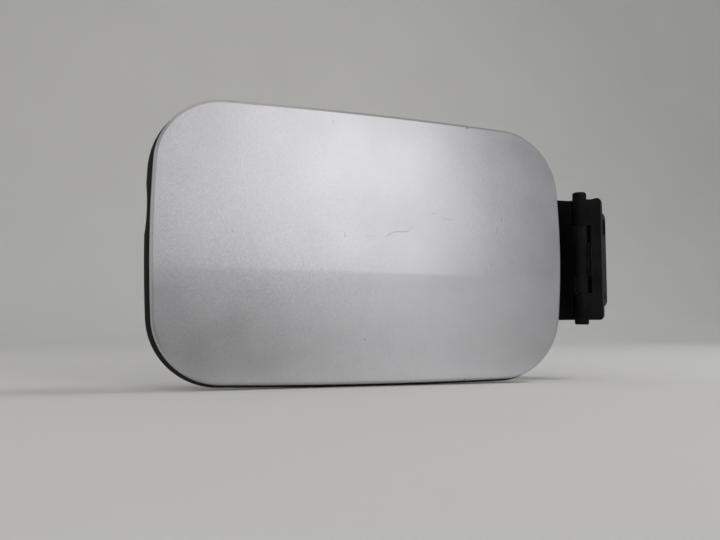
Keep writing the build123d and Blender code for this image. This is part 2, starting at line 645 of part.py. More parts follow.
with BuildPart() as hinge_base:
    with BuildSketch(hinge_plane(-HINGE_HEIGHT / 2)):
        Circle(KNUCKLE_RADIUS)
        Rectangle(BASE_EDGE, 2 * KNUCKLE_RADIUS, align=(Align.MIN, Align.CENTER))
        with Locations((BLOCK_START, -KNUCKLE_RADIUS)):
            Rectangle(BASE_EDGE - BLOCK_START, bay_depth, align=(Align.MIN, Align.MIN))
    extrude(amount=HINGE_HEIGHT)
    leaf_front = Plane(origin=(HINGE_X, HINGE_Y - KNUCKLE_RADIUS, 0), x_dir=(1, 0, 0), z_dir=(0, -1, 0))
    with BuildSketch(leaf_front):
        with BuildLine():
            Polyline(
                (SWING_RADIUS, HINGE_HEIGHT / 2),
                (BASE_EDGE, HINGE_HEIGHT / 2),
                (BASE_EDGE, HINGE_HEIGHT / 2 + LEAF_RISE),
                close=True,
            )
        make_face()
    extrude(amount=-bay_depth)
    leaf_corners = hinge_base.edges().filter_by(Axis.Y).group_by(Axis.X)[-1]
    fillet(leaf_corners, radius=BASE_CORNER)
    with BuildSketch(hinge_plane(-BAY_HEIGHT / 2)):
        with Locations((bay_wall, -bay_depth)):
            Rectangle(bay_wall + bay_depth, 3 * bay_depth, align=(Align.MAX, Align.MIN))
        with Locations((bay_wall, -KNUCKLE_RADIUS)):
            Rectangle(bay_wall - SWING_RADIUS, BASE_WALL, align=(Align.MAX, Align.MIN), mode=Mode.SUBTRACT)
    extrude(amount=BAY_HEIGHT, mode=Mode.SUBTRACT)
    with BuildSketch(hinge_plane(-CAM_LENGTH / 2 - SWING_CLEARANCE)):
        Circle(CAM_REACH + SWING_CLEARANCE)
    extrude(amount=CAM_LENGTH + 2 * SWING_CLEARANCE, mode=Mode.SUBTRACT)
    with BuildSketch(seat_plane):
        with Locations((HINGE_X + bay_wall, FLANGE_RISE)):
            Rectangle(FLANGE_EDGE - bay_wall, FLANGE_HEIGHT, align=(Align.MIN, Align.CENTER))
    extrude(amount=FLANGE_THICKNESS)
    flange_corners = hinge_base.edges().filter_by(Axis.Y).group_by(Axis.X)[-1]
    fillet(flange_corners, radius=FLANGE_CORNER)
    with BuildSketch(hinge_plane(-GUSSET_WALL / 2)):
        gusset_root = SEAT_OFFSET - FLANGE_THICKNESS
        with BuildLine():
            Polyline(
                (BASE_EDGE, gusset_root - GUSSET_REACH),
                (BASE_EDGE + GUSSET_REACH, gusset_root),
                (BASE_EDGE, gusset_root),
                close=True,
            )
        make_face()
    extrude(amount=GUSSET_WALL)
    with BuildSketch(seat_plane):
        with GridLocations(0, SCREW_SPACING, 1, 2):
            Circle(SCREW_HOLE_RADIUS)
    extrude(amount=FLANGE_THICKNESS, mode=Mode.SUBTRACT)
    with BuildSketch(hinge_plane(-HINGE_HEIGHT / 2)):
        Circle(PIN_RADIUS + PIN_PRESS_GAP)
    extrude(amount=HINGE_HEIGHT, mode=Mode.SUBTRACT)
    with BuildSketch(hinge_plane(-BAY_HEIGHT / 2 - BLADE_TUCK - BLADE_PLAY)):
        with Locations(Location(polar(CAM_FLAT + BLADE_GAP - BLADE_PLAY, CAM_ANGLE), (0, 0, CAM_ANGLE))):
            Rectangle(
                BLADE_THICKNESS + 2 * BLADE_PLAY,
                BLADE_WIDTH + 2 * BLADE_PLAY,
                align=(Align.MIN, Align.CENTER),
            )
    extrude(amount=BAY_HEIGHT + 2 * BLADE_TUCK + 2 * BLADE_PLAY, mode=Mode.SUBTRACT)
    core_left = PIN_RADIUS + CORE_WALL
    core_right = BASE_EDGE - CORE_WALL
    for height in (-HINGE_HEIGHT / 2 - LEAF_RISE, HINGE_HEIGHT / 2 - CORE_DEPTH):
        with BuildSketch(hinge_plane(height)):
            with Locations((core_left, CORE_WALL - KNUCKLE_RADIUS)):
                Rectangle(core_right - core_left, bay_depth - 2 * CORE_WALL, align=(Align.MIN, Align.MIN))
        extrude(amount=CORE_DEPTH + LEAF_RISE, mode=Mode.SUBTRACT)

hinge_base.part.label = "hinge_base"
export_step(hinge_base.part, "parts/hinge_base.step")

# Hinge pin, pressed into the base, with a round head above and a retainer below
with BuildPart() as hinge_pin:
    with BuildSketch(hinge_plane(-HINGE_HEIGHT / 2 - PIN_TAIL)):
        Circle(PIN_RADIUS)
    extrude(amount=HINGE_HEIGHT + PIN_TAIL)
    with BuildSketch(hinge_plane(HINGE_HEIGHT / 2)):
        Circle(KNUCKLE_RADIUS)
    extrude(amount=PIN_HEAD)
    chamfer(hinge_pin.edges().group_by(Axis.Z)[-1], length=PIN_CHAMFER)

hinge_pin.part.label = "hinge_pin"
export_step(hinge_pin.part, "parts/hinge_pin.step")

with BuildPart() as pin_retainer:
    with BuildSketch(hinge_plane(-HINGE_HEIGHT / 2)):
        Circle(KNUCKLE_RADIUS)
    extrude(amount=-RETAINER_HEIGHT)
    chamfer(pin_retainer.edges().group_by(Axis.Z)[0], length=PIN_CHAMFER)
    with BuildSketch(hinge_plane(-HINGE_HEIGHT / 2)):
        Circle(PIN_RADIUS + PIN_PRESS_GAP)
    extrude(amount=-PIN_TAIL, mode=Mode.SUBTRACT)

pin_retainer.part.label = "pin_retainer"
export_step(pin_retainer.part, "parts/pin_retainer.step")

# Detent spring: a flat blade held at both ends in the base, against the cam's flat
with BuildPart() as detent_spring:
    with BuildSketch(hinge_plane(-BAY_HEIGHT / 2 - BLADE_TUCK)):
        with Locations(Location(polar(CAM_FLAT + BLADE_GAP, CAM_ANGLE), (0, 0, CAM_ANGLE))):
            Rectangle(BLADE_THICKNESS, BLADE_WIDTH, align=(Align.MIN, Align.CENTER))
    extrude(amount=BAY_HEIGHT + 2 * BLADE_TUCK)

detent_spring.part.label = "detent_spring"
export_step(detent_spring.part, "parts/detent_spring.step")
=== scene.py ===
"""Finishes, studio stage and camera for a silver car fuel door on a black swan-neck hinge."""

from math import radians

import bmesh
import bpy
from bpy.props import FloatProperty, FloatVectorProperty, PointerProperty
from mathutils import Matrix, Vector


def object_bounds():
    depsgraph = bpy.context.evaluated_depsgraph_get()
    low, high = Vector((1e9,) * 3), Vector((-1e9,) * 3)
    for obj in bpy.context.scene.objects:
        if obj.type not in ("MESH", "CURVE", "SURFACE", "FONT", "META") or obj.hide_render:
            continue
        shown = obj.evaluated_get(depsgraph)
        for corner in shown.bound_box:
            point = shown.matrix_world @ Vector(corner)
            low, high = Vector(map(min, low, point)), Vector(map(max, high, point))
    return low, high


bl_info = {
    "name": "Car fuel door",
    "version": (1, 0, 0),
    "blender": (4, 5, 0),
    "location": "View3D > Sidebar > Fuel door",
    "description": "Paints a fuel door, finishes its black mouldings and sets up its stage",
    "category": "Object",
}

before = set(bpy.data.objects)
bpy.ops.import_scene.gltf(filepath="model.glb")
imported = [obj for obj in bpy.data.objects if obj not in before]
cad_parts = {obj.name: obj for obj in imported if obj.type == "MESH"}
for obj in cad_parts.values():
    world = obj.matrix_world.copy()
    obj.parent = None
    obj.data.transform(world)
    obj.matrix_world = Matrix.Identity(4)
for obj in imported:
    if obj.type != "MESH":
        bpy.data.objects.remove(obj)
CAD_LOW, CAD_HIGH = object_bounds()

# Scratches on the painted face: start and end as (across, up), half width, all in metres, strength
SCRATCHES = (
    ((-0.1320, 0.0043), (-0.1286, 0.0064), 0.00030, 0.42),
    ((-0.1286, 0.0064), (-0.1211, 0.0072), 0.00028, 0.46),
    ((-0.1211, 0.0072), (-0.1193, 0.0092), 0.00024, 0.30),
    ((-0.1506, 0.0053), (-0.1505, 0.0034), 0.00018, 0.65),
    ((-0.1410, 0.0041), (-0.1371, 0.0042), 0.00034, 0.20),
    ((-0.1096, 0.0158), (-0.1067, 0.0160), 0.00034, 0.20),
    ((-0.1037, 0.0136), (-0.0988, 0.0134), 0.00032, 0.28),
    ((-0.0732, 0.0168), (-0.0738, 0.0139), 0.00028, 0.38),
    ((-0.0757, 0.0115), (-0.0764, 0.0081), 0.00028, 0.30),
)
# Specks and chips on the painted face: middle as (across, up), radius, all in metres, strength
SPECKS = (
    ((-0.0794, -0.0066), 0.00045, 0.50),
    ((-0.1983, 0.0034), 0.00045, 0.35),
    ((-0.1409, -0.0404), 0.00055, 0.55),
    ((-0.1552, 0.0539), 0.00045, 0.40),
    ((-0.1734, -0.0026), 0.00060, 0.18),
    ((-0.1680, 0.0011), 0.00050, 0.18),
    ((-0.0895, 0.0577), 0.00080, 0.60),
    ((-0.0921, -0.0590), 0.00080, 0.60),
)

# Part of a noise pattern's height that is stretched over a whole blend
NOISE_SPAN = (0.3, 0.7)
# Middle of a pattern's colours
MID_GREY = (0.5, 0.5, 0.5)
# Keeps the places across and up, and drops the depth
ACROSS_AND_UP = (1.0, 0.0, 1.0)

# Small lengths of the finishes, in metres
SCRATCH_SHAKE = 0.0006
# Blend widths of the painted highlight on the hinge base's screw flange, and of its round gap at
# the upper screw hole
HIGHLIGHT_EDGE = 0.0005
HIGHLIGHT_GAP_EDGE = 0.0004
PIN_EDGE_ROUND = 0.0003
STREAK_DEPTH = 0.00003
RUBBER_GRAIN_DEPTH = 0.00004

# Finishes
EDGE_SAMPLES = 4
FINE_GRAIN_SHARE = 0.5
DUST_SPECK_SHARE = 0.5
LACQUER_IOR = 1.55
EDGE_WEAR = 0.5
PIN_EDGE_WEAR = 0.4
DUST_ROUGHNESS = 0.3
PIN_SHINE = 0.1
RUBBER_SHINE = 0.3
ZINC_ROUGHNESS = 0.36
SPRING_ROUGHNESS = 0.30
STEEL_DUST = 0.15
COATING_PATCH_GAIN = 1.6
ZINC_STREAKS = (900.0, 900.0, 900.0)
SPRING_STREAKS = (2600.0, 2600.0, 60.0)
STEEL_DUST_COLOUR = (0.22, 0.20, 0.18)
RUBBER_DUST_COLOUR = (0.20, 0.19, 0.18)
RUBBED_COLOUR = (0.12, 0.12, 0.12)

# Half the side of the square that every card starts from
HALF_METRE = 0.5

# Floor and backdrop, in metres
SWEEP_SIZE = (8.0, 4.8)
SWEEP_PLACE = (-0.1, -1.2)
SWEEP_RISE = 2.5
SWEEP_BEND = 0.5
SWEEP_BEND_STEPS = 16
# Depths between which the floor goes from painted shade in front to full colour, for reflections
# only
FLOOR_SHADE_DEPTHS = (-0.062, -0.034)
# Glow on the floor: a sector from a place behind the door, faded by slope and by depth
GLOW_APEX = (-0.243, 0.254)
GLOW_LEFT_FADE = (0.06, 0.46)
GLOW_RIGHT_FADE = (0.86, 0.48)
GLOW_START = (-0.02, -0.05)
GLOW_RUN = (-0.05, -0.8)
GLOW_NEAR = 0.85
GLOW_FAR = 1.2
GLOW_COLOUR = (1.0, 0.99, 0.98)

# Front light panel, in metres, with the places between which it fades
PANEL_SIZE = (1.75, 1.272)
PANEL_PLACE = (-0.075, -1.0, 0.664)
PANEL_LEFT_FADE = (-0.72, 0.36)
PANEL_LEFT_LEAST = 0.27
PANEL_RIGHT_FADE = (0.66, 0.30)
PANEL_TOP_FADE = (1.3, 0.7)
PANEL_COLOUR = (1.0, 0.985, 0.98)

# Cards at the left, as (height, depth), and above, as (width, depth), and the key light, in metres
SIDE_CARD_SIZE = (0.56, 1.3)
SIDE_CARD_PLACE = (-0.95, -0.35, 0.22)
TOP_CARD_SIZE = (0.95, 1.1)
TOP_CARD_PLACE = (-0.375, -0.2, 0.95)
CARD_COLOUR = (1.0, 0.96, 0.91)
KEY_SIZE = 0.35
KEY_PLACE = (0.6, -0.1, 0.9)
KEY_TARGET = (-0.12, 0.0, 0.0)

# Even light, and the plain background that the camera sees past the backdrop
SURROUND_COLOUR = (0.94, 0.965, 1.0)
SHOWN_STRENGTH = 0.8

# Camera: its axes in the shared frame, and its sensor in millimetres
CAMERA_RIGHT = (0.94281, -0.33332, 0.00372)
CAMERA_UP = (-0.03058, -0.07536, 0.99669)
CAMERA_BACK = (-0.33193, -0.93980, -0.08125)
SENSOR_WIDTH = 36.0
CLIP_START = 0.01


def opaque(colour):
    """A colour with its fourth part."""
    return (*colour, 1.0)


class Tree:
    """Adds nodes to one node tree and joins their sockets."""

    def __init__(self, tree):
        self.tree = tree

    def give(self, socket, value):
        """Joins an input to a socket, or sets the input's own value."""
        if isinstance(value, bpy.types.NodeSocket):
            self.tree.links.new(value, socket)
        else:
            socket.default_value = value

    def add(self, kind, inputs=None, **settings):
        """Adds a node; an input is given a socket to join or a value to hold."""
        made = self.tree.nodes.new(kind)
        for key, value in settings.items():
            setattr(made, key, value)
        for key, value in (inputs or {}).items():
            self.give(made.inputs[key], value)
        return made

    def join(self, node, **values):
        """Gives a node its inputs by name; a name's underscores stand for spaces."""
        for key, value in values.items():
            self.give(node.inputs[key.replace("_", " ")], value)

    def group(self, name, build, **values):
        """Outputs of a shared node group, which is built the first time it is asked for."""
        shared = bpy.data.node_groups.get(name) or build(name)
        made = self.add("ShaderNodeGroup", node_tree=shared)
        self.join(made, **values)
        return made.outputs

    def math(self, operation, first, second=0.0, clamp=False):
        """Output of a Math node."""
        inputs = {0: first, 1: second}
        return self.add("ShaderNodeMath", inputs, operation=operation, use_clamp=clamp).outputs[0]

    def product(self, *values):
        """Product of several values."""
        result = values[0]
        for value in values[1:]:
            result = self.math("MULTIPLY", result, value)
        return result

    def vector_math(self, operation, first, second=None):
        """Vector Math node."""
        inputs = {0: first} if second is None else {0: first, 1: second}
        return self.add("ShaderNodeVectorMath", inputs, operation=operation)

    def vector(self, operation, first, second=None):
        """Vector output of a Vector Math node."""
        return self.vector_math(operation, first, second).outputs["Vector"]

    def measure(self, operation, first, second=None):
        """Value output of a Vector Math node."""
        return self.vector_math(operation, first, second).outputs["Value"]

    def scaled(self, vector, factor):
        """A vector or colour times a factor."""
        made = self.vector_math("SCALE", vector)
        self.join(made, Scale=factor)
        return made.outputs["Vector"]

    def ramp(self, value, low, high, to_low=0.0, to_high=1.0, smooth=False):
        """A value moved from one range to another and held to its ends."""
        kind = "SMOOTHSTEP" if smooth else "LINEAR"
        inputs = {0: value, 1: low, 2: high, 3: to_low, 4: to_high}
        return self.add("ShaderNodeMapRange", inputs, interpolation_type=kind).outputs[0]

    def mix(self, factor, first, second):
        """Blend of two colours."""
        inputs = {0: factor, 6: first, 7: second}
        return self.add("ShaderNodeMix", inputs, data_type="RGBA").outputs[2]

    def noise(self, place, scale, detail=2.0, roughness=0.5):
        """Height of a noise pattern."""
        inputs = {"Vector": place, "Scale": scale, "Detail": detail, "Roughness": roughness}
        return self.add("ShaderNodeTexNoise", inputs).outputs[0]

    def bump(self, height, strength, depth, normal=None):
        """Normal bent by a height."""
        inputs = {"Height": height, "Strength": strength, "Distance": depth}
        if normal is not None:
            inputs["Normal"] = normal
        return self.add("ShaderNodeBump", inputs).outputs[0]

    def soft_edge(self, radius):
        """Normal of a surface whose edges are rounded."""
        made = self.add("ShaderNodeBevel", {"Radius": radius}, samples=EDGE_SAMPLES)
        return made.outputs["Normal"]

    def normal(self):
        """Normal of the surface itself."""
        return self.add("ShaderNodeNewGeometry").outputs["Normal"]

    def split(self, vector):
        """The three parts of a vector."""
        return self.add("ShaderNodeSeparateXYZ", {0: vector}).outputs

    def object_place(self):
        """Place on the piece, in metres of the shared frame."""
        return self.add("ShaderNodeTexCoord").outputs["Object"]

    def seen_by_camera(self):
        """One where the camera looks straight at the surface, and none elsewhere."""
        return self.add("ShaderNodeLightPath").outputs["Is Camera Ray"]


def new_group(name, inputs, outputs):
    """Shader node group with named sockets; returns its tree and its two ends."""
    group = bpy.data.node_groups.new(name, "ShaderNodeTree")
    for title, kind, default in inputs:
        socket = group.interface.new_socket(
            title, in_out="INPUT", socket_type="NodeSocket" + kind
        )
        if default is not None:
            socket.default_value = default
    for title in outputs:
        group.interface.new_socket(title, in_out="OUTPUT", socket_type="NodeSocketFloat")
    tree = Tree(group)
    return tree, tree.add("NodeGroupInput").outputs, tree.add("NodeGroupOutput")


def scratch_group(name):
    """Mask of one straight scratch between two places on the painted face."""
    inputs = (
        ("Place", "Vector", None),
        ("Start", "Vector", None),
        ("End", "Vector", None),
        ("Half Width", "Float", 0.0002),
        ("Strength", "Float", 0.5),
    )
    tree, given, result = new_group(name, inputs, ("Mask",))
    place = given["Place"]
    flat = tree.vector("MULTIPLY", place, ACROSS_AND_UP)
    ragged = tree.add("ShaderNodeTexNoise", {"Vector": place, "Scale": 1400.0, "Detail": 1.0})
    centred = tree.vector("SUBTRACT", ragged.outputs["Color"], MID_GREY)
    shaken = tree.vector("ADD", flat, tree.scaled(centred, SCRATCH_SHAKE))
    along = tree.vector("SUBTRACT", given["End"], given["Start"])
    offset = tree.vector("SUBTRACT", shaken, given["Start"])
    run = tree.measure("DOT_PRODUCT", offset, along)
    square = tree.measure("DOT_PRODUCT", along, along)
    nearest = tree.scaled(along, tree.math("DIVIDE", run, square, clamp=True))
    gap = tree.vector("SUBTRACT", offset, nearest)
    away = tree.measure("LENGTH", tree.vector("MULTIPLY", gap, ACROSS_AND_UP))
    edge = tree.math("DIVIDE", away, given["Half Width"])
    line = tree.ramp(edge, low=0.3, high=1.5, to_low=1.0, to_high=0.0, smooth=True)
    worn = tree.ramp(tree.noise(place, scale=900.0), low=0.3, high=0.65, to_low=0.35)
    tree.join(result, Mask=tree.product(line, worn, given["Strength"]))
    return tree.tree


def speck_group(name):
    """Mask of one uneven speck on the painted face."""
    inputs = (
        ("Place", "Vector", None),
        ("Middle", "Vector", None),
        ("Radius", "Float", 0.0005),
        ("Strength", "Float", 0.5),
    )
    tree, given, result = new_group(name, inputs, ("Mask",))
    place = given["Place"]
    flat = tree.vector("MULTIPLY", place, ACROSS_AND_UP)
    away = tree.measure("LENGTH", tree.vector("SUBTRACT", flat, given["Middle"]))
    uneven = tree.ramp(tree.noise(place, scale=1600.0), *NOISE_SPAN, to_low=0.6, to_high=1.5)
    edge = tree.math("MULTIPLY", tree.math("DIVIDE", away, given["Radius"]), uneven)
    spot = tree.ramp(edge, low=0.4, high=1.2, to_low=1.0, to_high=0.0, smooth=True)
    tree.join(result, Mask=tree.product(spot, given["Strength"]))
    return tree.tree


def grain_group(name):
    """Fine moulded grain: a height for the bump and an uneven gloss."""
    inputs = (
        ("Place", "Vector", None),
        ("Grain Scale", "Float", 2200.0),
        ("Gloss Scale", "Float", 90.0),
    )
    tree, given, result = new_group(name, inputs, ("Height", "Gloss"))
    place, scale = given["Place"], given["Grain Scale"]
    cells = tree.add(
        "ShaderNodeTexVoronoi",
        {"Vector": place, "Scale": scale, "Smoothness": 0.6},
        feature="SMOOTH_F1",
    )
    fine = tree.math("MULTIPLY", tree.noise(place, scale), FINE_GRAIN_SHARE)
    height = tree.math("ADD", cells.outputs["Distance"], fine)
    tree.join(result, Height=height, Gloss=tree.noise(place, given["Gloss Scale"], detail=4.0))
    return tree.tree


def worn_edge_group(name):
    """Mask of the outer edges, broken up as handling wears them."""
    inputs = (("Place", "Vector", None), ("Radius", "Float", 0.0004))
    tree, given, result = new_group(name, inputs, ("Mask",))
    rounded = tree.soft_edge(given["Radius"])
    alike = tree.measure("DOT_PRODUCT", rounded, tree.normal())
    edge = tree.ramp(alike, low=0.97, high=0.75)
    noise = tree.noise(given["Place"], scale=350.0, detail=4.0, roughness=0.7)
    broken = tree.ramp(noise, low=0.42, high=0.62)
    tree.join(result, Mask=tree.product(edge, broken))
    return tree.tree


def dust_group(name):
    """Mask of dust that settles in patches, more on faces that look up."""
    inputs = (("Place", "Vector", None), ("Amount", "Float", 0.3))
    tree, given, result = new_group(name, inputs, ("Mask",))
    facing = tree.ramp(tree.split(tree.normal())["Z"], low=-0.4, high=1.0, to_low=0.25)
    broad = tree.noise(given["Place"], scale=60.0, detail=5.0, roughness=0.65)
    patches = tree.ramp(broad, low=0.40, high=0.70)
    specks = tree.ramp(tree.noise(given["Place"], scale=1500.0), low=0.55, high=0.72)
    faint_specks = tree.math("MULTIPLY", specks, DUST_SPECK_SHARE)
    lying = tree.math("ADD", patches, faint_specks, clamp=True)
    tree.join(result, Mask=tree.product(facing, lying, given["Amount"]))
    return tree.tree


def moulded_grain(tree, place, grain_scale, gloss_scale):
    """Height and gloss of moulded grain."""
    made = tree.group(
        "Moulded grain",
        grain_group,
        Place=place,
        Grain_Scale=grain_scale,
        Gloss_Scale=gloss_scale,
    )
    return made["Height"], made["Gloss"]


def worn_edge(tree, place, radius):
    """Mask of worn edges."""
    return tree.group("Worn edge", worn_edge_group, Place=place, Radius=radius)["Mask"]


def settled_dust(tree, place, amount):
    """Mask of settled dust."""
    return tree.group("Settled dust", dust_group, Place=place, Amount=amount)["Mask"]


def bare_material(name):
    """Material with no nodes yet; returns it with its tree."""
    material = bpy.data.materials.new(name)
    material.use_nodes = True
    material.node_tree.nodes.clear()
    return material, Tree(material.node_tree)


def new_material(name):
    """Material with one shader; returns it with its tree and its shader."""
    material, tree = bare_material(name)
    shader = tree.add("ShaderNodeBsdfPrincipled")
    tree.add("ShaderNodeOutputMaterial", {"Surface": shader.outputs[0]})
    return material, tree, shader


def finish_nodes(material, *names):
    """Gives CAD nodes a material."""
    for name in names:
        for material_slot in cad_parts[name].material_slots:
            material_slot.material = material


def paint_marks(tree, place):
    """Mask of all scratches and specks."""
    marks = 0.0
    for start, end, half_width, strength in SCRATCHES:
        line = tree.group(
            "Scratch",
            scratch_group,
            Place=place,
            Start=(start[0], 0.0, start[1]),
            End=(end[0], 0.0, end[1]),
            Half_Width=half_width,
            Strength=strength,
        )
        marks = tree.math("MAXIMUM", line["Mask"], marks)
    for middle, radius, strength in SPECKS:
        spot = tree.group(
            "Speck",
            speck_group,
            Place=place,
            Middle=(middle[0], 0.0, middle[1]),
            Radius=radius,
            Strength=strength,
        )
        marks = tree.math("MAXIMUM", spot["Mask"], marks)
    return marks


def silver_paint(paint):
    """Silver metallic paint under lacquer, with flakes, scratches and specks."""
    material, tree, shader = new_material("Silver paint")
    place = tree.object_place()
    cells = tree.add("ShaderNodeTexVoronoi", {"Vector": place, "Scale": paint.flake_scale})
    flakes = cells.outputs["Color"]
    flake = tree.add("ShaderNodeSeparateColor", {0: flakes}).outputs[0]
    glint = tree.ramp(flake, low=0.0, high=1.0, to_low=-0.05, to_high=0.05)
    broad = tree.noise(place, scale=70.0, detail=3.0)
    mottle = tree.ramp(broad, *NOISE_SPAN, to_low=0.97, to_high=1.03)
    silver = tree.scaled(tuple(paint.colour), tree.math("ADD", glint, mottle))
    marks = paint_marks(tree, place)
    smears = tree.noise(place, scale=35.0, detail=5.0, roughness=0.6)
    smear = tree.ramp(smears, low=0.35, high=0.7, to_low=-0.03, to_high=0.05)
    tilt = tree.scaled(tree.vector("SUBTRACT", flakes, MID_GREY), paint.flake_tilt)
    tree.join(
        shader,
        Base_Color=tree.mix(marks, silver, opaque(paint.mark_colour)),
        Roughness=tree.math("ADD", smear, paint.roughness),
        Normal=tree.vector("NORMALIZE", tree.vector("ADD", tree.normal(), tilt)),
        Coat_Weight=tree.math("SUBTRACT", 1.0, marks, clamp=True),
        Metallic=paint.metal,
        Coat_Roughness=paint.lacquer_roughness,
        Coat_IOR=LACQUER_IOR,
    )
    return material


def flange_highlight_mask(tree, place, plastic):
    """Mask of a painted highlight on the screw flange, standing in for a reflection, with a round
    gap at the upper screw hole.
    """
    zone = tree.ramp(tree.split(place)["X"], plastic.highlight_from, plastic.highlight_from + HIGHLIGHT_EDGE)
    patchy = tree.ramp(tree.noise(place, scale=220.0, detail=4.0), *NOISE_SPAN, to_low=0.75)
    gap = tree.measure("DISTANCE", place, plastic.highlight_gap_place)
    outside_gap = tree.ramp(gap, plastic.highlight_gap_radius, plastic.highlight_gap_radius + HIGHLIGHT_GAP_EDGE)
    return tree.product(zone, patchy, outside_gap)


def black_moulding(plastic, name, share, shine, painted_highlight=False):
    """Black moulded plastic with fine grain, worn edges and a little dust; a share below one
    darkens its black as painted shade, and it can carry a painted highlight on the screw flange.
    """
    material, tree, shader = new_material(name)
    place = tree.object_place()
    # A share below one darkens the black: painted shade on the hinge's copies
    black = opaque(share * part for part in plastic.colour)
    pale = opaque(share * part for part in plastic.pale_colour)
    height, gloss = moulded_grain(tree, place, plastic.grain_scale, plastic.gloss_scale)
    wear = tree.math("MULTIPLY", worn_edge(tree, place, plastic.edge_round), EDGE_WEAR)
    dust = settled_dust(tree, place, plastic.dust)
    clean = tree.mix(tree.ramp(gloss, *NOISE_SPAN), black, pale)
    rubbed = tree.mix(wear, clean, opaque(plastic.worn_colour))
    colour = tree.mix(dust, rubbed, opaque(plastic.dust_colour))
    # Painted highlight on the screw flange, standing in for a reflection
    if painted_highlight:
        colour = tree.mix(flange_highlight_mask(tree, place, plastic), colour, opaque(plastic.highlight_colour))
    uneven = tree.ramp(gloss, *NOISE_SPAN, to_low=-0.06, to_high=0.06)
    plain_rough = tree.math("ADD", uneven, plastic.roughness)
    dusty_rough = tree.math("MULTIPLY", dust, DUST_ROUGHNESS)
    rounded = tree.soft_edge(plastic.edge_round)
    tree.join(
        shader,
        Base_Color=colour,
        Roughness=tree.math("ADD", plain_rough, dusty_rough, clamp=True),
        Normal=tree.bump(height, strength=0.5, depth=plastic.grain_depth, normal=rounded),
        Specular_IOR_Level=shine,
    )
    return material


def plated_steel(name, colour, dull, rough_base, streaks):
    """Plated or rolled steel with fine streaks along one direction and dull patches."""
    material, tree, shader = new_material(name)
    place = tree.object_place()
    stretched = tree.add("ShaderNodeMapping", {"Vector": place, "Scale": streaks}).outputs[0]
    lines = tree.noise(stretched, scale=1.0, detail=3.0)
    patches = tree.noise(place, scale=260.0, detail=4.0, roughness=0.6)
    dulled = tree.ramp(patches, low=0.4, high=0.65)
    metal = tree.mix(dulled, opaque(colour), opaque(dull))
    dust = settled_dust(tree, place, STEEL_DUST)
    uneven = tree.ramp(lines, low=0.2, high=0.8, to_low=-0.08, to_high=0.1)
    tree.join(
        shader,
        Base_Color=tree.mix(dust, metal, opaque(STEEL_DUST_COLOUR)),
        Roughness=tree.math("ADD", uneven, rough_base, clamp=True),
        Metallic=1.0,
        Normal=tree.bump(lines, strength=0.15, depth=STREAK_DEPTH),
    )
    return material


def coated_steel(metal):
    """Black coated steel, rubbed bright in places along its edges."""
    material, tree, shader = new_material("Coated steel")
    place = tree.object_place()
    wear = tree.math("MULTIPLY", worn_edge(tree, place, PIN_EDGE_ROUND), PIN_EDGE_WEAR)
    patches = tree.ramp(tree.noise(place, scale=300.0, detail=4.0), low=0.35, high=0.7)
    patch_colour = opaque(COATING_PATCH_GAIN * part for part in metal.coating_colour)
    coat = tree.mix(patches, opaque(metal.coating_colour), patch_colour)
    tree.join(
        shader,
        Base_Color=tree.mix(wear, coat, opaque(RUBBED_COLOUR)),
        Roughness=tree.ramp(patches, low=0.0, high=1.0, to_low=0.38, to_high=0.52),
        Normal=tree.soft_edge(PIN_EDGE_ROUND),
        Specular_IOR_Level=PIN_SHINE,
    )
    return material


def stop_rubber(rubber):
    """Soft black rubber with a dull bloom and dust."""
    material, tree, shader = new_material("Stop rubber")
    place = tree.object_place()
    height, gloss = moulded_grain(tree, place, rubber.grain_scale, rubber.gloss_scale)
    dust = settled_dust(tree, place, rubber.dust)
    faded = tree.ramp(gloss, low=0.35, high=0.7)
    bloom = tree.mix(faded, opaque(rubber.colour), opaque(rubber.bloom_colour))
    tree.join(
        shader,
        Base_Color=tree.mix(dust, bloom, opaque(RUBBER_DUST_COLOUR)),
        Roughness=tree.ramp(gloss, *NOISE_SPAN, to_low=0.72, to_high=0.88),
        Normal=tree.bump(height, strength=0.4, depth=RUBBER_GRAIN_DEPTH),
        Specular_IOR_Level=RUBBER_SHINE,
    )
    return material


def pale_sweep(stage):
    """Matt floor and backdrop; reflections see the floor darker in front, which is painted shade,
    with a glow on it.
    """
    material, tree, shader = new_material("Pale sweep")
    place = tree.object_place()
    across, depth, _ = tree.split(place)
    seen = tree.seen_by_camera()
    broad = tree.noise(place, scale=6.0, detail=3.0)
    tone = tree.ramp(broad, *NOISE_SPAN, to_low=1.0, to_high=1.03)
    # Painted shade: reflections see the floor in front darker
    reflected = tree.ramp(depth, *FLOOR_SHADE_DEPTHS, to_low=stage.bounce_share)
    share = tree.math("MAXIMUM", seen, reflected)
    apex_across, apex_depth = GLOW_APEX
    run = tree.math("SUBTRACT", apex_depth, depth)
    slope = tree.math("DIVIDE", tree.math("SUBTRACT", across, apex_across), run)
    left = tree.ramp(slope, *GLOW_LEFT_FADE, smooth=True)
    right = tree.ramp(slope, *GLOW_RIGHT_FADE, smooth=True)
    start = tree.ramp(depth, *GLOW_START, smooth=True)
    growth = tree.ramp(depth, *GLOW_RUN, to_low=GLOW_NEAR, to_high=GLOW_FAR)
    hidden = tree.math("SUBTRACT", 1.0, seen)
    tree.join(
        shader,
        Base_Color=tree.scaled(tuple(stage.floor_colour), tree.product(tone, share)),
        Roughness=0.7,
        Specular_IOR_Level=0.2,
        Emission_Color=opaque(GLOW_COLOUR),
        Emission_Strength=tree.product(left, right, start, growth, hidden, stage.floor_glow),
    )
    return material


def add_glow(tree, colour, strength):
    """Makes a bare material glow."""
    light = tree.add("ShaderNodeEmission", {"Color": opaque(colour), "Strength": strength})
    tree.add("ShaderNodeOutputMaterial", {"Surface": light.outputs[0]})


